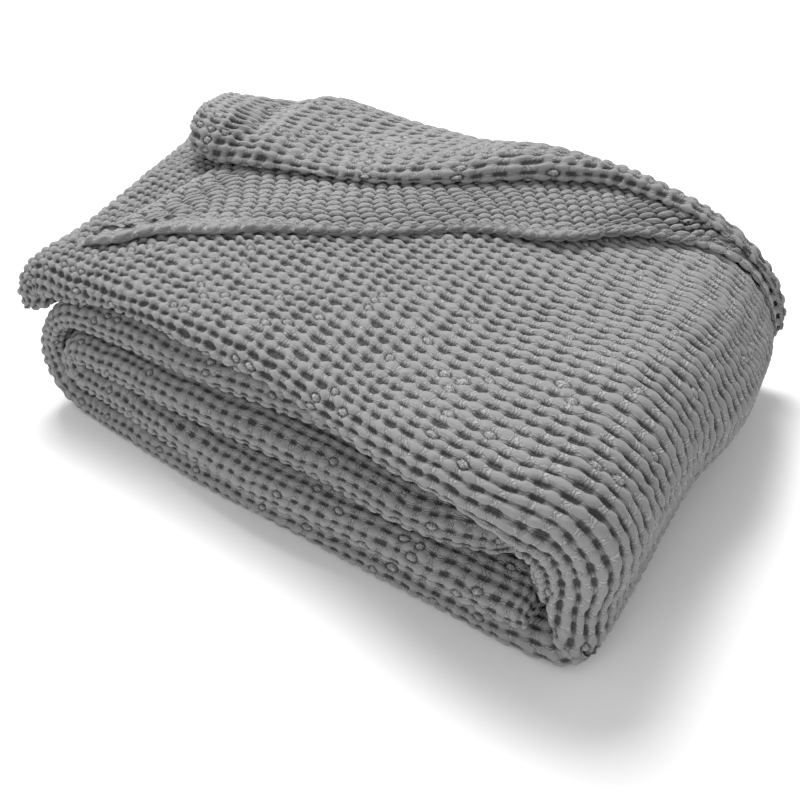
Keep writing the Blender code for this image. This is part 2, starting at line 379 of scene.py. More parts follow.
def bend_through(points, between=10):
    """A smooth line through points; points may have leading dimensions."""
    before = points[..., :1, :] * 2 - points[..., 1:2, :]
    after = points[..., -1:, :] * 2 - points[..., -2:-1, :]
    p = np.concatenate([before, points, after], axis=-2)
    a, b, c, d = p[..., :-3, :], p[..., 1:-2, :], p[..., 2:-1, :], p[..., 3:, :]
    parts = []
    for k in range(between):
        t = k / between
        parts.append(0.5 * (2 * b + (c - a) * t + (2 * a - 5 * b + 4 * c - d) * t * t
                            + (3 * b - a - 3 * c + d) * t ** 3))
    line = np.stack(parts, axis=-2)
    line = line.reshape(points.shape[:-2] + (-1, 2))
    return np.concatenate([line, points[..., -1:, :]], axis=-2)


def outline(points, way):
    """y and n at distances along the outline of each column, and the length of each outline."""
    line = bend_through(points)
    gaps = np.linalg.norm(np.diff(line, axis=-2), axis=-1)
    far = np.concatenate([0 * gaps[..., :1], np.cumsum(gaps, axis=-1)], axis=-1)
    y = np.array([np.interp(w, f, li[:, 0]) for w, f, li in zip(way, far, line)])
    n = np.array([np.interp(w, f, li[:, 1]) for w, f, li in zip(way, far, line)])
    return y, n, far[:, -1:]


# %% [markdown]
# `weave_cloth` makes a piece: it moves the points of a smooth surface along its normals by the
# weave's height, so that pads stand out and pits lie deep, but nothing goes below the floor. The
# mesh keeps the normals of the whole woven grid, so that no seam shows where two pieces meet. It
# also stores what the finish needs: the weave's coordinates, the height and the popped cells.

# %% Making a piece of woven cloth
PIECES = {}
RELIEF = 0.34  # from the bottom of a pit to the top of a pad, in cells
CREST = 0.12  # how far the pads stand out


def grid_normals(points):
    """Unit normals of a grid of points."""
    n = np.cross(np.gradient(points, axis=0), np.gradient(points, axis=1))
    return n / np.maximum(np.linalg.norm(n, axis=-1, keepdims=True), 1e-9)


def kept_quads(keep, facing):
    """The grid's faces that have all corners in keep, turned to face outwards."""
    number = np.arange(keep.size).reshape(keep.shape)
    quads = np.stack([number[:-1, :-1], number[1:, :-1], number[1:, 1:], number[:-1, 1:]], axis=-1)
    if facing < 0:
        quads = quads[..., ::-1]
    return quads[keep[:-1, :-1] & keep[1:, :-1] & keep[1:, 1:] & keep[:-1, 1:]]


def weave_cloth(name, weave, base, facing, keep=None, relief=RELIEF):
    """Makes a piece. weave: what waffle gives; base: smooth points; facing: 1 if the grid's normals
    point outwards, or -1; keep: which points stay; relief: from pit to pad."""
    height, i1, j1, has_popped = weave
    if keep is None:
        keep = np.ones(height.shape, bool)
    lift = relief * (height - 1) + CREST * relief / RELIEF
    points = base + grid_normals(base) * (facing * lift)[..., None]
    points[..., 2] = np.maximum(points[..., 2], 0)
    shade = grid_normals(points) * facing
    quads = kept_quads(keep, facing)
    used = np.unique(quads)
    again = np.full(keep.size, -1)
    again[used] = np.arange(len(used))
    quads = again[quads]
    mesh = bpy.data.meshes.new(name)
    mesh.vertices.add(len(used))
    mesh.vertices.foreach_set("co", (points.reshape(-1, 3)[used] * CELL).ravel())
    mesh.loops.add(quads.size)
    mesh.loops.foreach_set("vertex_index", quads.ravel())
    mesh.polygons.add(len(quads))
    mesh.polygons.foreach_set("loop_start", np.arange(0, quads.size, 4))
    mesh.polygons.foreach_set("use_smooth", np.ones(len(quads), bool))
    mesh.update(calc_edges=True)
    place = np.stack([i1, j1], axis=-1).reshape(-1, 2)[used]
    weave_map = mesh.uv_layers.new(name="weave")
    weave_map.data.foreach_set("uv", place[quads.ravel()].ravel())
    for title, values in (("relief", height), ("popped", has_popped.astype(float))):
        stored = mesh.attributes.new(title, "FLOAT", "POINT")
        stored.data.foreach_set("value", values.reshape(-1)[used])
    mesh.validate()
    mesh.normals_split_custom_set_from_vertices(shade.reshape(-1, 3)[used])
    piece = bpy.data.objects.new(name, mesh)
    bpy.context.scene.collection.objects.link(piece)
    a, b, c, d = (base.reshape(-1, 3)[used][quads[:, k]] for k in range(4))
    area = np.linalg.norm(np.cross(c - a, d - b), axis=1).sum() / 2 * CELL ** 2
    length = np.median(np.linalg.norm(np.diff(base, axis=0), axis=-1).sum(axis=0)) * CELL
    PIECES[name] = {"piece": piece, "area": area, "length": length}
    print(name, len(quads) * 2, "triangles,", round(area, 3), "square metres of flat cloth")


# %% [markdown]
# ## The front folds
# What shows at the front is the fold of each band. The cloth comes out of the crease under the band
# above, bulges forward, and turns back under in a sharp lip at its lower edge, where its own weight
# lies on it. At the left, where two bands join in a turn, the fold is round. So each column blends
# three outlines: a round fold, and a lip with the inner or the outer side of the strip on top.

# %% Outlines of the front folds
LIP_INNER = np.array([(FLAT_FROM, SKIN), (2.4, 1.05), (1.65, 0.98), (1.05, 0.80), (0.58, 0.48), (0.26, 0.05),
                      (0.07, -0.38), (0.0, -0.72), (0.13, -0.93), (0.5, -1.03), (1.3, -SKIN),
                      (2.1, -SKIN), (3.0, -SKIN), (6.5, -SKIN)])
LIP_OUTER = np.concatenate([[(FLAT_FROM, SKIN)], (LIP_INNER[::-1] * (1, -1))[2:], [(6.5, -SKIN)]])
round_angles = np.radians([90, 60, 30, 0, -30, -60, -90])
ROUND = np.array([(FLAT_FROM, SKIN), (2.4, SKIN), (1.6, SKIN)]
                 + [(SKIN * (1 - math.cos(a)), SKIN * math.sin(a)) for a in round_angles]
                 + [(1.6, -SKIN), (2.4, -SKIN), (3.0, -SKIN), (6.5, -SKIN)])
SAG_BACK = 0.2  # with its sag a fold gets deeper
SAG_DOWN = 0.46  # and lower


def fold_outline(outer, inner, sag):
    """Outline points of each column from its share of each lip, and its sag."""
    outer, inner = outer[:, None, None], inner[:, None, None]
    points = outer * LIP_OUTER + inner * LIP_INNER + (1 - outer - inner) * ROUND
    sag = np.broadcast_to(sag, outer.shape[:1])[:, None]
    y = points[..., 0] * (1 + SAG_BACK * sag)
    n = SKIN - (SKIN - points[..., 1]) * (1 + SAG_DOWN * sag)
    return np.stack([y, n], axis=-1)


def round_front(points, way):
    """y and n at distances along each outline; behind its start the ply runs on flat."""
    start = points[:, 0, 0][:, None] - FLAT_FROM
    way = way + start
    y, n, _ = outline(points, np.maximum(way, 0))
    return y + np.maximum(-way, 0), n


def heading_at(u):
    """The strip's heading at a distance along it."""
    return np.interp(u, LINE["u"], LINE["heading"])


# %% [markdown]
# The two middle bands are one strip: in from the right, round the inner turn at the left, and back to
# the right. So are the upper band, the left wrap and the under band. Each of the two is one piece.
# The upper part of every fold is drawn in and pressed down by the band on it, and what the creases
# hide is left out.

# %% The front folds of the four lower bands
FRONT_ROW = 0.62  # height of a weave cell on the front folds
FRONT_ROWS = (-1, 14)  # rows of the weave over a fold
FRONT_RELIEF = 0.28  # pulled flatter
DRAWN_IN = 0.55  # how far the upper part is drawn in
PRESSED = 0.22  # and down
FOLD_WAVE = 0.10
PITCH_X = (-5, -2, 3, 8, 14, 30, 36)
PITCH = (0.80, 0.76, 0.82, 0.93, 1.0, 1.02, 1.05)


def band_scale(first, last):
    """The weave's scale along the strip's front."""
    at = np.linspace(first, last, 60)
    return Scale(first, last, at, curve(np.interp(at, LINE["u"], LINE["x"]), PITCH_X, PITCH), zero=first)


def band_front(name, first, last, shift, tuck):
    """The front folds of the strip. shift moves the weave to other chances, and tuck pushes the last
    of it in behind the wrap."""
    scale = band_scale(first, last)
    i = scale.columns(first, last, FINE)
    j = steps(*FRONT_ROWS, FINE)
    u = scale.distance(i)
    lean = np.cos(heading_at(u))
    outer, inner = np.maximum(lean, 0), np.maximum(-lean, 0)
    way = np.broadcast_to(j * FRONT_ROW, (len(u), len(j)))
    y, n = round_front(fold_outline(outer, inner, 0.0), way)
    u, outer, inner = u[:, None], outer[:, None], inner[:, None]
    over = inner - outer
    y = y + DRAWN_IN * ramp(n * over, -0.2, 1.0)
    n = n - PRESSED * over * ramp(n * over, 0.3, 1.0)
    y = y + FOLD_WAVE * wander(u + shift, 0 * way, 6.0, 1) + tuck * ramp(u, last - 2, last)
    ii, jj = np.meshgrid(i + shift, j, indexing="ij")
    keep = (way > 1.8 * outer - 0.7) & (way < 8.8 - 2.4 * inner)
    keep &= (way > 1.9) | (u < MARK["right wrap"] + 0.5)
    weave = waffle(ii, jj, popped=0.07, pit=0.6)
    weave_cloth(name, weave, lay(u, y, n), 1, keep=keep, relief=FRONT_RELIEF)


band_front("inner_bands_front", -1.66, MARK["hidden turn"] + 1.95, 7, 0.0)
band_front("outer_bands_front", MARK["hidden turn"] + 1.85, MARK["right wrap"] + 3.4, 31, 0.45)

# %% [markdown]
# ## The top band and the right wrap
# The top of the bundle and its right side are one large sheet: it comes up from the floor round the
# right end, runs over the top and turns down at the left end. Its front fold is loose, and sags
# lower and lower to the right, until on the wrap it hides the ends of the bands behind it. The
# weave's columns run straight back, while the left edge leans out, so the lattice is laid in a chart
# of its own and only then bent round the strip.

# %% The lattice of the top sheet
SAG_X = (-6, -3, -1, 1.2, 3, 5, 8, 14, 19, 23, 27, 31, 33, 35)
SAG_TOP = (0.5, 0.6, 0.6, 0.2, -0.25, -0.4, -0.4, -0.3, -0.25, 0.05, 0.30, 0.40, 0.8, 1.6)
SAG_ANGLE = (0, 24, 28, 31, 38, 45, 60, 75, 90, 105, 120, 135, 150, 165, 180)
SAG_WRAP = (-1.9, -1.8, -1.5, -1.2, -0.5, -0.2, 0.6, 1.7, 2.2, 2.4, 2.4, 2.2, 1.8, 1.7, 1.6)
chart_right = TOP_RIGHT + math.pi * RIGHT_WRAP
column_scale = Scale(-14, chart_right + 3, (-14, -4, 0, 4, 8, 15, 21, 27, 40, 55),
                     (0.72, 0.72, 0.80, 0.90, 0.97, 1.08, 1.12, 1.2, 1.24, 1.2))
row_scale = Scale(-29, 12, (-29, -22, -14, -9, -6, -2.5, 0.5, 3, 12),
                  (0.84, 0.76, 0.76, 0.80, 0.86, 0.93, 0.86, 0.74, 0.72))


def strip_at(flat):
    """Distance along the strip of a place on the top sheet."""
    return MARK["top"] + TOP_RIGHT - flat


def unlean(chart, y):
    """The place on the top sheet whose column stands at chart."""
    flat = chart + 0 * y
    for _ in range(4):
        flat = chart + leaning(np.clip(flat, -6, 44), y)
    return flat


def wrap_angle(flat):
    """How far round the right wrap a place is, from 0 on the floor."""
    return np.clip((chart_right - flat) / RIGHT_WRAP, 0, math.pi)


def sag_at(flat):
    """How far the loose front fold of the top sheet sags."""
    on_wrap = curve(np.degrees(wrap_angle(flat)), SAG_ANGLE, SAG_WRAP)
    return np.where(flat > TOP_RIGHT, on_wrap, curve(flat, SAG_X, SAG_TOP))


def sheet_lips(flat):
    """Outer and inner lip of the front fold of the top sheet."""
    lean = np.cos(heading_at(strip_at(flat)))
    return 0 * flat, np.where(flat > TOP_RIGHT, 1.0, np.maximum(-lean, 0))


print("the top sheet is", round(column_scale.cells(chart_right) - column_scale.cells(0)), "cells long")

# %% [markdown]
# The hem of the flap crosses the top aslant, and the sheet is left out where the flap hides it. To
# the right the weave is pulled along X, so there its pads join into ropes, and to the left it lies
# loose, with wide pits. Near the floor the wrap has no lip, since the under band's fold shows.

# %% The top sheet in three pieces
HEM_X = (-8, -4, -0.8, 0.8, 1.8, 3.2, 6.3, 8.4, 11.6, 17, 22.2, 24.7, 26.2, 27.8, 29.3, 30.8, 33.2, 35.5,
         38.7, 44)
HEM_Y = (2.5, 2.8, 3.2, 4.2, 5.7, 6.9, 8.8, 10.8, 12.7, 16.4, 19.8, 20.7, 21.3, 22.8, 24.8, 26.3, 28.0, 28.9,
         29.8, 31)
ROLL_X = (-3, -1.6, 0.3, 4.3, 7.2, 10, 14.7, 18, 20, 21.9, 23.7, 26, 30, 34, 40)
ROLL_Y = (18.6, 17.2, 16.4, 17.7, 18.8, 20, 21.6, 23.4, 24.8, 26.4, 27.8, 29.3, 29.9, 30.1, 30.6)
LEFT_END = TOP_LEFT - NOSE * NOSE_TURN - SKIN * math.pi / 2
SHEET_ROWS = 12.0  # rows of the weave on the front fold
ROPES = 0.7  # how far the pads join
UNDER_HEM = 1.8  # the sheet ends this far behind the hem
FLOOR_ANGLE = math.radians(34)  # below this the wrap has no lip


def top_sheet(name, first, last, hide=True):
    """A stretch of the top sheet; hide leaves out what the flap covers."""
    i = column_scale.columns(first, last, FINE)
    j = steps(math.floor(row_scale.cells(FLAT_FROM - FLAT_TO)), SHEET_ROWS, FINE)
    chart, way = np.meshgrid(column_scale.distance(i), row_scale.distance(j), indexing="ij")
    flat = unlean(chart, np.maximum(FLAT_FROM - way, 0))
    middle = np.clip(flat[:, np.argmin(np.abs(way[0]))], LEFT_END, chart_right + 2)
    y, n = round_front(fold_outline(*sheet_lips(middle), sag_at(middle)), way)
    base = lay(strip_at(np.maximum(flat, LEFT_END)), y, n)
    base[..., 2] += FOLD_WAVE * wander(chart, y, 6.0, 1)
    ii, jj = np.meshgrid(i, j, indexing="ij")
    popped = 0.03 + 0.10 * ramp(y, 14, 4)
    rope = ROPES * ramp(flat, 20, 36)
    pit = 1.5 - 0.5 * ramp(flat, 14, 28)
    weave = waffle(ii, jj, popped=popped, rope=rope, pit=pit)
    keep = (flat > LEFT_END - 0.15) & ((wrap_angle(flat) > FLOOR_ANGLE) | (way < 2.1))
    if hide:
        behind_hem = y > curve(flat, HEM_X, HEM_Y) + UNDER_HEM
        keep &= ~behind_hem | (flat < 0.2 + 2.0 * ramp(y, 12, 14)) | (flat > 34)
    weave_cloth(name, weave, base, -1, keep=keep)


top_sheet("top_left", -12.0, 14.4)
top_sheet("top_right", 14.4, TOP_RIGHT)
top_sheet("right_wrap", TOP_RIGHT, chart_right + 0.4, hide=False)

# %% [markdown]
# ## The turned flap
# One edge of the cloth is turned forward over the top. Its hem is a narrow turned edge with one row
# of big oval beads, and the cloth runs back from there until it goes under the roll. Here the weave
# is pulled flat into rows of long oval pads, each row half a pad along, so it has a height function
# of its own, `scales`. The sheet starts underneath, goes round the hem, where small stitches show,
# and back over the top, so hem and cloth stay one piece.

# %% The weave of the flap
OVAL = (0.50, 0.46)  # half length and half width of a pulled pad
OVAL_BACK = 0.06
BEAD_ROW = 0.42  # middle of the row of beads
BEAD = (0.46, 0.42)  # half length and half width of a bead
HEM_FROM, HEM_TO = -0.35, 0.95  # the rows that the beads take up
FILL_TO = 1.7  # up to this row the pits are filled
FILL = 0.35  # to this height
LEFT_FILL = (0.8, 0.25)  # and at the left this much further and higher


def scales(i, j):
    """Rows of long oval pads: their height, and the pulled lattice."""
    i1, j1 = pulled(i, j)
    row = np.round(j1)
    i1 = i1 + 0.5 * (row % 2)
    reach = np.hypot((i1 - np.round(i1)) / OVAL[0], (j1 - row + OVAL_BACK) / OVAL[1])
    height = np.sqrt(np.clip(1 - (reach / 1.02) ** 2, 0, 1)) + 0.06 * wander(i, j, FUZZ, 5)
    return height, i1, j1


def hem_weave(i, j, flat):
    """The weave of the flap: stitches under the edge, beads on the hem, and scales behind it."""
    height, i1, j1 = scales(i, j)
    lump = 0.9 + 0.25 * wander(i, 0, 1.7, 2)
    reach = np.hypot((i - np.round(i)) / (BEAD[0] * lump), (j - BEAD_ROW) / (BEAD[1] * lump))
    beads = 0.15 + 0.95 * (1 - ramp(reach, 0.55, 1.0)) + 0.35 * ramp(reach, 1.05, 1.35)
    height = np.where((j > HEM_FROM) & (j < HEM_TO), beads, height)
    left = ramp(flat, 12, 6)
    filled = np.maximum(height, FILL + LEFT_FILL[1] * left)
    height = np.where(j < FILL_TO + LEFT_FILL[0] * left, filled, height)
    stitches = 0.45 + 0.35 * np.abs(np.cos(math.pi * i)) ** 0.7 + 0.05 * wander(i, j, 0.3, 5)
    height = np.where(j <= HEM_FROM, stitches, height)
    i1 = np.where(j < HEM_TO, i, i1)
    j1 = np.where(j < HEM_TO, j - BEAD_ROW, j1)
    return height, i1, j1, np.zeros(height.shape, bool)


# %% The flap
FLAP_LIFT = SKIN + CREST  # the flap lies on the pads of the top sheet
FLAP_ROWS = 9.5  # between hem and roll
FLAP_RELIEF = 0.38
FLAP_THIN = 0.55  # its left end starts this far below FLAP_LIFT
FLAP_STANDS = 0.49  # and the flap stands higher by this
UP_AT = (-2.6, -0.4)  # to the right of these
HEM_AT = 1.75  # the hem lies this far along the outline
HEM_OUTLINE = np.array([(1.6, 0.06), (0.7, 0.06), (0.14, 0.12), (-0.06, 0.34), (0.12, 0.56), (0.5, 0.62),
                        (0.9, 0.56), (2.0, 0.58), (4.0, 0.60)])
RIM = 29.4  # the flap reaches the back rim here
OVER_RIM = np.array([(30.4, 0.0), (31.2, 1.35), (31.1, 0.95), (30.4, 0.9)])
flap_columns = Scale(-12, chart_right, (-12, -5, 0, 6, 24, 34, 50), (0.75, 0.78, 0.88, 0.95, 0.95, 0.9, 0.9))


def rim_lift(flat, y, hem):
    """The cloth under the flap swells up towards the right back rim."""
    back = ease((y - hem - 0.5) / np.maximum(30 - hem, 2.5))
    return (0.4 * ramp(flat, 18, 26) + 0.6 * ramp(flat, 24, 30)) * ramp(flat, 39.5, 34.5) * back


def rim_taper(flat):
    """On the right wrap the flap and the roll press flat."""
    return 1 - 0.65 * ramp(flat, 34, 41)


def flap_sheet(name, first, last, rows):
    """The flap from its hem back to where the roll covers it."""
    i = flap_columns.columns(first, last, FINE)
    j = steps(-2, rows, FINE)
    chart = flap_columns.distance(i)[:, None]
    flat = unlean(chart, curve(chart, HEM_X, HEM_Y))
    hem = curve(flat, HEM_X, HEM_Y)
    roll = curve(flat, ROLL_X, ROLL_Y)
    back, thick = HEM_OUTLINE.T
    high = FLAP_LIFT - FLAP_THIN + (thick + FLAP_STANDS) * ramp(flat, *UP_AT)
    points = np.stack([np.minimum(hem + back, RIM), high], axis=-1)
    over_rim = np.tile(OVER_RIM, (len(i), 1, 1))
    over_rim[:, 0, 1] = high[:, -1] - 0.1
    points = np.concatenate([points, over_rim], axis=1)
    pitch = np.clip((roll - hem) / FLAP_ROWS, 0.62, 1.02)
    way = HEM_AT + j * np.where(j < 0, 0.8, pitch)
    y, n, length = outline(points, np.maximum(way, 0))
    sway = 0.12 * wander(i[:, None], 0, 4.0, 1) * ramp(flat, 2, 8)
    y = y + sway * (1 + ramp(flat, 22, 28))
    n = n + rim_lift(flat, y, hem)
    n = SKIN + (n - SKIN) * rim_taper(flat)
    n = n + 0.30 * ramp(flat, 24, 27) * ramp(flat, 33, 30) * np.exp(-((y - hem) / 1.2) ** 2)
    flat = unlean(chart, np.minimum(y, 31))
    base = lay(strip_at(np.maximum(flat, LEFT_END)), y, n)
    base[..., 2] += 0.08 * wander(i[:, None], y, 5.0, 3)
    ii, jj = np.meshgrid(i, j, indexing="ij")
    keep = (flat > -2.7) & ((y < 28.6) | (flat > -1.2)) & (way < length)
    keep &= (y < roll + 1.7) | (flat < 5)
    weave_cloth(name, hem_weave(ii, jj, flat), base, 1, keep=keep, relief=FLAP_RELIEF)


flap_sheet("flap_left", -12.0, 15.0, 36)
flap_sheet("flap_right", 15.0, 43.6, 13)

# %% [markdown]
# ## The loose roll behind the flap
# Behind the flap the same cloth stands up in a loose roll, fat at the left and thin along the right
# back rim, and from its top it falls over the back of the bundle. Its outline is given in shares of
# its depth and height, so one table serves for both ends. At the left it closes in a round end.

# %% The roll
ROLL_TOP_X = (-4, -1, 1.5, 3.2, 4.8, 6, 7.5, 10, 13, 16, 20, 24, 28, 31, 34, 38)
ROLL_TOP_N = (4.7, 4.9, 4.6, 3.55, 3.8, 3.5, 3.1, 2.8, 3.05, 3.2, 3.5, 3.3, 3.0, 2.6, 2.2, 1.9)
BACK_X = (-4, 0, 1.4, 3.6, 5, 20, 30)
BACK_Y = (26.8, 26.8, 27.4, 30.4, 31.0, 31.4, 32.0)
ROLL_BASE = 1.84  # height of the roll's lower edge
ROLL_ROW = 0.84  # and of a weave cell on it
ROLL_FINE = 7
ROLL_SOFT = 0.35  # the share of the relief that is gone behind its top
# behind the lower edge, and share of the rise
ROLL_FRONT = ((1.8, 0), (0.9, 0.01), (0.25, 0.06), (-0.02, 0.20), (0.0, 0.40), (0.28, 0.66), (0.85, 0.88),
              (1.9, 1.0))
# before the back, share of the rise, and of the second hump
ROLL_FALL = ((4.2, 0.97, 0.1), (2.4, 0.90, 0.8), (1.2, 0.74, 0.6), (0.3, 0.42, 0.0), (0.0, 0.0, 0.0))
ROLL_END = -1.0  # left of this the roll closes
END_SIZE = 1.0  # over this length
END_BACK = 2.5  # round a middle this far behind the lower edge
END_HEIGHT = 2.6  # and at this height
roll_columns = Scale(-6, chart_right, (-6, 0, 30, 60), (0.95, 1.1, 1.1, 1.0))


def roll_sheet(name, first, last):
    """The roll, from its lower edge over its top and down at the back."""
    i = roll_columns.columns(first, last, FINE)
    j = steps(-1, 20, ROLL_FINE)
    chart = roll_columns.distance(i)
    front = curve(chart, ROLL_X, ROLL_Y)
    back = curve(chart, BACK_X, BACK_Y)
    rise = curve(chart, ROLL_TOP_X, ROLL_TOP_N) - ROLL_BASE
    room = np.clip((back - front) / 6.5, 0.25, 1.3)
    hump = 0.5 * ramp(chart, 2.4, 3.8) * ramp(chart, 14, 4)
    rows = [(front + out * room, ROLL_BASE + up * rise) for out, up in ROLL_FRONT]
    rows += [(back - away * room, ROLL_BASE + up * rise + bump * hump) for away, up, bump in ROLL_FALL]
    rows += [(back - 0.1, 0 * back + 1.35), (back - 0.7, 0 * back + 1.0)]
    points = np.stack([np.stack(row, axis=-1) for row in rows], axis=1)
    way = 1.9 * room[:, None] + j * ROLL_ROW
    y, n, length = outline(points, np.maximum(way, 0))
    chart, front = chart[:, None], front[:, None]
    n = n + rim_lift(chart, np.minimum(y, 30.5), curve(chart, HEM_X, HEM_Y))
    n = SKIN + (n - SKIN) * rim_taper(chart)
    close = np.sqrt(np.clip(1 - (np.minimum(chart - ROLL_END, 0) / END_SIZE) ** 2, 0.0009, 1))
    y = front + END_BACK + (y - front - END_BACK) * close
    n = END_HEIGHT + (n - END_HEIGHT) * close
    flat = np.maximum(chart, ROLL_END - END_SIZE)
    wavy_y = y + FOLD_WAVE * wander(i[:, None], y, 5.0, 3)
    wavy_n = n + FOLD_WAVE * wander(i[:, None], y, 4.0, 1)
    ii, jj = np.meshgrid(i, j, indexing="ij")
    keep = (way < length + 0.05) & (chart > ROLL_END - END_SIZE - 0.06)
    relief = RELIEF * (1 - ROLL_SOFT * ramp(jj, 4, 7))
    base = lay(strip_at(flat), wavy_y, wavy_n)
    weave_cloth(name, waffle(ii, jj, popped=0.25), base, 1, keep=keep, relief=relief)


roll_sheet("roll_left", -3.0, 20.0)
roll_sheet("roll_right", 20.0, 42.5)

# %% [markdown]
# ## The plain plies
# The outer ply of the left wrap closes the left side, and the under band's lower ply is what the
# bundle lies on. The nose, the right wrap and the hidden turn can be looked into between the bands.
# All these are flat plies of the strip, woven coarser the less they are seen.

# %% The left side, the underside and the inner sides
PLY_ROW = 0.85  # height of a weave cell
SIDE_FINE = 6  # points to a cell on the left side
PLAIN = 5  # where little is seen
COARSE = 4  # deep inside
COARSEST = 3  # and on the floor


def skin_sheet(name, first, last, per_cell, side=1):
    """A flat outer ply of the strip; side is 1 on its outer side and -1 on its inner side."""
    scale = band_scale(first, last)
    i = scale.columns(first, last, per_cell)
    j = steps(0, round((FLAT_TO - FLAT_FROM) / PLY_ROW), per_cell)
    u, y = np.meshgrid(scale.distance(i), FLAT_FROM + (FLAT_TO - FLAT_FROM) * j / j[-1], indexing="ij")
    ii, jj = np.meshgrid(i, j, indexing="ij")
    weave_cloth(name, waffle(ii, jj, popped=0.05), lay(u, y, side * SKIN), -side)


strip_end = MARK["end"] + SKIN * math.pi / 2
skin_sheet("left_side", MARK["left wrap"] - 2, MARK["under"] + 1, SIDE_FINE)
skin_sheet("underside", MARK["under"] + 1, MARK["right wrap"] + 0.6, COARSEST)
skin_sheet("nose_under", MARK["nose"] - 2, strip_end, PLAIN, side=-1)
skin_sheet("wrap_inside", MARK["right wrap"] - 1, MARK["top"] + 5, COARSE, side=-1)
skin_sheet("hidden_turn", MARK["hidden turn"] - 2, MARK["hidden turn"] + 10, COARSE)

# %% [markdown]
# ## The back
# At the back each band shows how the cloth was folded in four: one round fold, and beside it the two
# edges of the cloth. They follow the strip's whole way round the bundle, as one pleated sheet.

# %% The folds and edges at the back
BACK_OUTLINE = np.array([
    (29.3, -1.06), (30.3, -1.05), (30.78, -0.94), (31.0, -0.69), (30.78, -0.43), (30.2, -0.33),
    (29.6, -0.27), (29.35, -0.1), (29.6, 0.06), (30.4, 0.10), (30.9, 0.13), (31.05, 0.28),
    (30.9, 0.44), (30.4, 0.48), (29.6, 0.51), (29.4, 0.58), (29.6, 0.66), (30.4, 0.69),
    (30.9, 0.72), (31.08, 0.88), (30.9, 1.04), (30.4, SKIN), (29.4, SKIN)])
BACK_WAY = 10.4  # its length
BACK_FINE = 6  # points to a cell
BACK_RELIEF = 0.2  # pressed flatter
LAYERS_AT = (-0.1, 0.58)  # between the fold and the two edges
LAYER_SHIFT = 0.35  # how far a layer may stand out


def back_folds(name, first, last):
    """The back of the strip between two places on its way."""
    scale = Scale(first, last, (first, last), (1.0, 1.0), zero=first)
    i = scale.columns(first, last, PLAIN)
    u = scale.distance(i)[:, None]
    way = steps(0, BACK_WAY, BACK_FINE)
    y, n, _ = outline(np.tile(BACK_OUTLINE, (len(i), 1, 1)), np.tile(way, (len(i), 1)))
    layer = np.digitize(n, LAYERS_AT)
    shift = LAYER_SHIFT * wander(u, 40.0 * layer, 7.0, 1) * ramp(y, 29.4, 30.6)
    ii, jj = np.meshgrid(i, way / PLY_ROW, indexing="ij")
    weave_cloth(name, waffle(ii, jj), lay(u, y + shift, n), 1, relief=BACK_RELIEF)


back_folds("inner_bands_back", -1.7, MARK["left wrap"])
back_folds("outer_bands_back", MARK["left wrap"], strip_end)

# %% [markdown]
# ## The cotton
# Washed cotton yarns are matt, a little fuzzy, and neutral grey here. The pits are painted darker,
# as painted shade for the light that sinks into them. Two effects are groups, so that another blanket
# can use them: `yarn_and_edge_shade` gives painted shade as thin dark outlines round pads and domes,
# and the lines of the single yarns, and `heather` the slow unevenness of the dye.

# %% Shader groups
LINES = 6.0  # yarns in a cell
YARN_BEND = 0.5  # how far they wander
# Painted shade: thin dark rings round the edges of pads and popped domes.
PAD_SHADE_RING = (0.44, 0.05)  # radius and half width of the outline round a pad
POP_SHADE_RING = (0.31, 0.06)  # and round a popped dome
PAD_SHADE_SHARE = 0.5
THREADS_FROM, THREADS_AT = 0.34, 0.46  # where the yarns come in


def new_group(name, inputs, outputs):
    """A shader node group; an input is (name, value), and a vector where its value is None."""
    group = bpy.data.node_groups.new(name, "ShaderNodeTree")
    for socket, value in inputs:
        kind = "NodeSocketVector" if value is None else "NodeSocketFloat"
        made = group.interface.new_socket(socket, in_out="INPUT", socket_type=kind)
        if value is not None:
            made.default_value = value
    for socket in outputs:
        group.interface.new_socket(socket, in_out="OUTPUT", socket_type="NodeSocketFloat")
    return group, group.nodes.new("NodeGroupInput"), group.nodes.new("NodeGroupOutput")


def set_inputs(node, **values):
    """Sets inputs of a node by name, with _ for a space."""
    for title, value in values.items():
        node.inputs[title.replace("_", " ")].default_value = value


def calc(tree, operation, a, b=None, c=None, clamp=False):
    """A Math node; a, b and c are sockets or numbers."""
    node = tree.nodes.new("ShaderNodeMath")
    node.operation = operation
    node.use_clamp = clamp
    for k, value in enumerate((a, b, c)):
        if value is None:
            continue
        if isinstance(value, (int, float)):
            node.inputs[k].default_value = value
        else:
            tree.links.new(value, node.inputs[k])
    return node.outputs[0]


def soft_range(tree, value, low, high):
    """A soft step of a socket from 0 at low to 1 at high."""
    node = tree.nodes.new("ShaderNodeMapRange")
    node.interpolation_type = "SMOOTHSTEP"
    set_inputs(node, From_Min=low, From_Max=high)
    tree.links.new(value, node.inputs["Value"])
    return node.outputs["Result"]


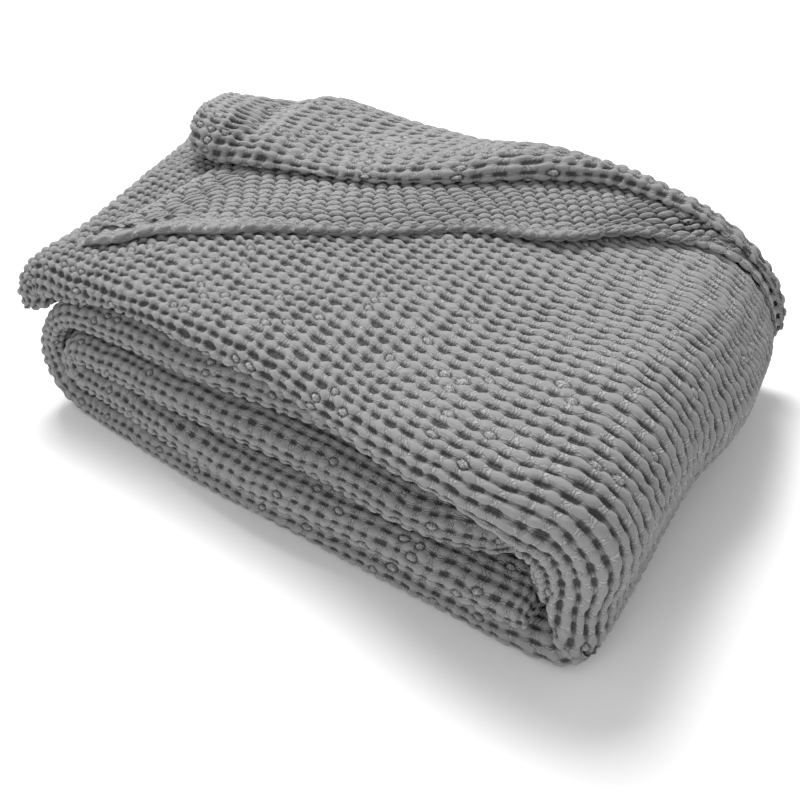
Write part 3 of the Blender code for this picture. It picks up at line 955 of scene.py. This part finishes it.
# This group gives the lines of the single yarns, and painted shade as thin dark rings round pads and popped
# domes.
yarn_and_edge_shade, yarn_in, yarn_and_shade_out = new_group("yarn_and_edge_shade", [("Weave", None), ("Popped", 0.0), ("Lines", LINES)],
                                    ["Outline", "Thread"])
split = yarn_and_edge_shade.nodes.new("ShaderNodeSeparateXYZ")
yarn_and_edge_shade.links.new(yarn_in.outputs["Weave"], split.inputs[0])
wobble = yarn_and_edge_shade.nodes.new("ShaderNodeTexNoise")
set_inputs(wobble, Scale=3.0, Detail=2.0)
yarn_and_edge_shade.links.new(yarn_in.outputs["Weave"], wobble.inputs["Vector"])
off_pad = []
lines_of = []
for axis in (0, 1):
    off_pad.append(calc(yarn_and_edge_shade, "PINGPONG", split.outputs[axis], 0.5))
    bent = calc(yarn_and_edge_shade, "MULTIPLY_ADD", wobble.outputs["Fac"], YARN_BEND, split.outputs[axis])
    turns = calc(yarn_and_edge_shade, "MULTIPLY", bent, yarn_in.outputs["Lines"])
    wave = calc(yarn_and_edge_shade, "SINE", calc(yarn_and_edge_shade, "MULTIPLY", turns, 2 * math.pi))
    lines_of.append(calc(yarn_and_edge_shade, "MULTIPLY_ADD", wave, 0.5, 0.5))


def reach_of(a, b, power):
    """Distance from a middle, rounder or squarer with the power."""
    total = calc(yarn_and_edge_shade, "ADD", calc(yarn_and_edge_shade, "POWER", a, power), calc(yarn_and_edge_shade, "POWER", b, power))
    return calc(yarn_and_edge_shade, "POWER", total, 1 / power)


def ring_at(reach, radius, half):
    """1 on a ring, fading to 0 at half on both sides."""
    away = calc(yarn_and_edge_shade, "ABSOLUTE", calc(yarn_and_edge_shade, "SUBTRACT", reach, radius))
    return calc(yarn_and_edge_shade, "SUBTRACT", 1.0, calc(yarn_and_edge_shade, "DIVIDE", away, half), clamp=True)


pad_reach = reach_of(off_pad[0], off_pad[1], PAD_POWER)
pad_reach = calc(yarn_and_edge_shade, "MULTIPLY_ADD", wobble.outputs["Fac"], 0.10, pad_reach)
# Painted shade on a thin ring round each pad, and below round each popped dome.
pad_edge_shade = calc(yarn_and_edge_shade, "MULTIPLY", ring_at(pad_reach, *PAD_SHADE_RING), PAD_SHADE_SHARE)
from_pit = [calc(yarn_and_edge_shade, "SUBTRACT", 0.5, near) for near in off_pad]
pop_edge_shade = ring_at(reach_of(from_pit[0], from_pit[1], 2.0), *POP_SHADE_RING)
pop_edge_shade = calc(yarn_and_edge_shade, "MULTIPLY", pop_edge_shade, yarn_in.outputs["Popped"])
yarn_and_edge_shade.links.new(calc(yarn_and_edge_shade, "MAXIMUM", pad_edge_shade, pop_edge_shade), yarn_and_shade_out.inputs["Outline"])
along_i = calc(yarn_and_edge_shade, "LESS_THAN", off_pad[1], off_pad[0])
mix_a = calc(yarn_and_edge_shade, "MULTIPLY", along_i, lines_of[0])
mix_b = calc(yarn_and_edge_shade, "MULTIPLY", calc(yarn_and_edge_shade, "SUBTRACT", 1.0, along_i), lines_of[1])
between_pads = soft_range(yarn_and_edge_shade, pad_reach, THREADS_FROM, THREADS_AT)
threads = calc(yarn_and_edge_shade, "MULTIPLY", calc(yarn_and_edge_shade, "ADD", mix_a, mix_b), between_pads)
yarn_and_edge_shade.links.new(threads, yarn_and_shade_out.inputs["Thread"])

heather, heather_in, heather_out = new_group("heather", [("Place", None), ("Size", 90.0)], ["Tone"])
cloud = heather.nodes.new("ShaderNodeTexNoise")
set_inputs(cloud, Detail=4.0)
heather.links.new(heather_in.outputs["Place"], cloud.inputs["Vector"])
heather.links.new(heather_in.outputs["Size"], cloud.inputs["Scale"])
heather.links.new(cloud.outputs["Fac"], heather_out.inputs["Tone"])
print("groups", yarn_and_edge_shade.name, heather.name)

# %% [markdown]
# The grey goes from dark in the pits, a painted shade, to light on the pads with the height of the
# relief, which is stored on the mesh. It is then made uneven, lighter on the yarns and darker on the
# outlines round pads and domes, which are painted shade as well. The bump is only for the single
# yarns, because every larger shape is in the mesh.

# %% The cotton material
# Painted shade: the pits get a darker grey for the shade that falls into them, fading out up to a height
# given below.
PIT_SHADE_GREY = 0.058  # grey in the pits
COTTON_LIGHT = 0.30  # and on the pads
PIT_SHADE_ENDS = 0.75  # from this height on
DYE_UNEVEN = 0.30
THREAD_LIGHT = (0.55, 0.89)  # lighter on the yarns, and the tone beside them
# Painted shade: how much the thin rings round pads and domes darken the grey.
EDGE_SHADE_DARK = 0.40
YARN_BUMP = 0.0006  # height of a yarn, in metres
cotton = bpy.data.materials.new("grey_waffle_cotton")
cotton.use_nodes = True
tree = cotton.node_tree
shader = tree.nodes["Principled BSDF"]
set_inputs(shader, Roughness=0.9, Specular_IOR_Level=0.2, Sheen_Weight=0.12, Sheen_Roughness=0.5)

weave_uv = tree.nodes.new("ShaderNodeUVMap")
weave_uv.uv_map = "weave"
object_place = tree.nodes.new("ShaderNodeTexCoord")
height_map = tree.nodes.new("ShaderNodeAttribute")
height_map.attribute_name = "relief"
popped_map = tree.nodes.new("ShaderNodeAttribute")
popped_map.attribute_name = "popped"
yarn_and_shade_node = tree.nodes.new("ShaderNodeGroup")
yarn_and_shade_node.node_tree = yarn_and_edge_shade
set_inputs(yarn_and_shade_node, Lines=LINES)
tree.links.new(weave_uv.outputs["UV"], yarn_and_shade_node.inputs["Weave"])
tree.links.new(popped_map.outputs["Fac"], yarn_and_shade_node.inputs["Popped"])
heather_node = tree.nodes.new("ShaderNodeGroup")
heather_node.node_tree = heather
set_inputs(heather_node, Size=260.0)
tree.links.new(object_place.outputs["Object"], heather_node.inputs["Place"])

# Painted shade in the pits, lifting with the height of the relief.
clear_of_pit_shade = soft_range(tree, height_map.outputs["Fac"], 0.0, PIT_SHADE_ENDS)
tone = calc(tree, "MULTIPLY_ADD", clear_of_pit_shade, COTTON_LIGHT - PIT_SHADE_GREY, PIT_SHADE_GREY)
uneven = calc(tree, "MULTIPLY_ADD", heather_node.outputs["Tone"], DYE_UNEVEN, 1 - DYE_UNEVEN / 2)
thread = calc(tree, "MULTIPLY_ADD", yarn_and_shade_node.outputs["Thread"], *THREAD_LIGHT)
# Painted shade along the edges of pads and popped domes.
edge_shaded = calc(tree, "MULTIPLY_ADD", yarn_and_shade_node.outputs["Outline"], -EDGE_SHADE_DARK, 1.0)
grey = calc(tree, "MULTIPLY", calc(tree, "MULTIPLY", tone, uneven), thread)
grey = calc(tree, "MULTIPLY", grey, edge_shaded)
tree.links.new(grey, shader.inputs["Base Color"])
bump = tree.nodes.new("ShaderNodeBump")
set_inputs(bump, Strength=0.9, Distance=YARN_BUMP)
tree.links.new(yarn_and_shade_node.outputs["Thread"], bump.inputs["Height"])
tree.links.new(bump.outputs["Normal"], shader.inputs["Normal"])
print("material", cotton.name, "with", len(tree.nodes), "nodes")

# %% [markdown]
# ## Joining the pieces to the frame
# Every piece gets the cotton, rides on the frame's one body, and stands in for the plain solid.

# %% Ride and replace
for name, made in PIECES.items():
    piece = made["piece"]
    piece.data.materials.append(cotton)
    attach(piece, "root")
    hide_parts("blanket")
faces = sum(len(made["piece"].data.polygons) for made in PIECES.values())
print(len(PIECES), "pieces,", 2 * faces, "triangles")

# %% [markdown]
# ## A pale studio
# The blanket lies on a plain pale floor under an even white sky. One large soft light from the left
# and behind makes the relief stand out, where a small lamp would draw black pits, and a weak one in
# front opens the shadows in the folds.

# %% The floor, the light and the camera
FLOOR_SIZE = 12  # metres
FLOOR_BELOW = 0.0005
FLOOR_TONE = 0.95
SKY_STRENGTH = 0.54
CAMERA_PLACE = (0.3215, -0.4886, 0.4305)
CAMERA_YAW = 0.561  # radians to the left of straight back
CAMERA_PITCH = 0.649  # and down
LENS = 44.06  # millimetres, on a sensor of 36

bpy.ops.mesh.primitive_plane_add(size=FLOOR_SIZE, location=(0, 0, -FLOOR_BELOW))
floor = bpy.context.object
floor.name = "floor"
paper = bpy.data.materials.new("pale_floor")
paper.use_nodes = True
paper_shader = paper.node_tree.nodes["Principled BSDF"]
set_inputs(paper_shader, Base_Color=(FLOOR_TONE, FLOOR_TONE, FLOOR_TONE, 1), Roughness=0.9)
floor.data.materials.append(paper)

world = bpy.data.worlds.new("studio")
bpy.context.scene.world = world
world.use_nodes = True
set_inputs(world.node_tree.nodes["Background"], Color=(1, 1, 1, 1), Strength=SKY_STRENGTH)


def soft_light(name, place, aim, size, power):
    """A square soft light, turned to what it lights; metres and watts."""
    lamp = bpy.data.lights.new(name, "AREA")
    lamp.size = size
    lamp.energy = power
    holder = bpy.data.objects.new(name, lamp)
    bpy.context.scene.collection.objects.link(holder)
    holder.location = place
    holder.rotation_euler = (Vector(aim) - Vector(place)).to_track_quat("-Z", "Y").to_euler()


soft_light("key", (-0.6, 0.5, 1.55), (0, 0, 0.1), 0.8, 33)
soft_light("fill", (0.1, -1.5, 0.8), (0, 0, 0.05), 1.2, 7)
bpy.context.scene.view_settings.view_transform = "Standard"

view = bpy.data.cameras.new("camera")
view.sensor_width = 36.0
view.lens = LENS
view.clip_start = 0.02
camera = bpy.data.objects.new("camera", view)
bpy.context.scene.collection.objects.link(camera)
camera.location = CAMERA_PLACE
camera.rotation_euler = (math.pi / 2 - CAMERA_PITCH, 0, CAMERA_YAW)
bpy.context.scene.camera = camera
print("camera at", CAMERA_PLACE, "with a lens of", LENS, "mm")
